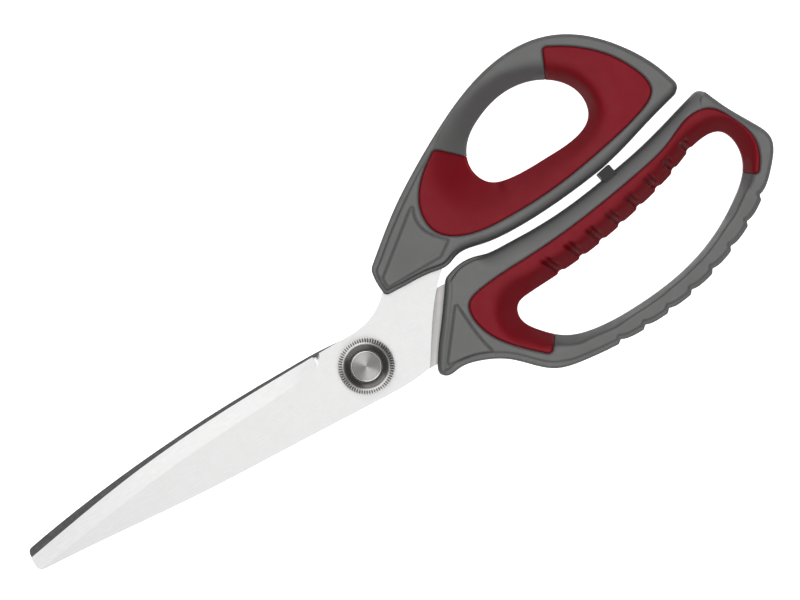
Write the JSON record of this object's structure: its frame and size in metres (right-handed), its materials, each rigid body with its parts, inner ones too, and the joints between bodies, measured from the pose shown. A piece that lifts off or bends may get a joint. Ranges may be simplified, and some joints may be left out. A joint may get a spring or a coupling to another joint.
{
  "type": "poultry shears",
  "caption": "Large shears with long steel blades, a knurled pivot nut and moulded handles with a thumb loop, a long finger loop and soft grips.",
  "frame": {"origin": "on the pivot axis, at the underside of the bolt head, which is the plane the shears lie on", "axes": "+X from the blades to the handles, +Y to the thumb loop, +Z along the pivot to the knurled nut"},
  "size_m": [0.2548, 0.0925, 0.0139],
  "materials": {
    "blade_steel": "brushed along the blade",
    "turned_steel": "turned and polished",
    "washer_steel": "plain",
    "washer_bronze": "plain",
    "handle_plastic": "satin",
    "soft_grip": "satin",
    "bumper_rubber": "matte"
  },
  "bodies": {
    "finger_half": {"finger_blade": "blade_steel", "finger_handle": "handle_plastic", "finger_grip": "soft_grip", "handle_bumper": "bumper_rubber", "pivot_bolt": "turned_steel", "bolt_head_washer": "washer_steel", "blade_friction_washer": "washer_bronze", "front_washer": "washer_steel", "spring_washer": "washer_steel"},
    "thumb_half": {"thumb_blade": "blade_steel", "thumb_handle": "handle_plastic", "thumb_grip": "soft_grip"},
    "nut_seat": {"nut_seat_washer": "washer_steel"},
    "nut": {"pivot_nut": "turned_steel"}
  },
  "joints": [
    {"name": "blade_pivot", "type": "hinge", "parent": "finger_half", "child": "thumb_half", "pos_m": [0, 0, 0.006], "axis": [0, 0, 1], "range_deg": [0, 98]},
    {"name": "nut_lift", "type": "slide", "parent": "finger_half", "child": "nut_seat", "axis": [0, 0, 1], "range_m": [0, 0.00075], "deforming": ["spring_washer"]},
    {"name": "nut_turn", "type": "hinge", "parent": "nut_seat", "child": "nut", "pos_m": [0, 0, 0.0115], "axis": [0, 0, 1], "range_deg": [0, 360]}
  ],
  "couplings": [
    {"joint": "nut_lift", "follows": "nut_turn", "m_per_rad": 0.00011936}
  ]
}
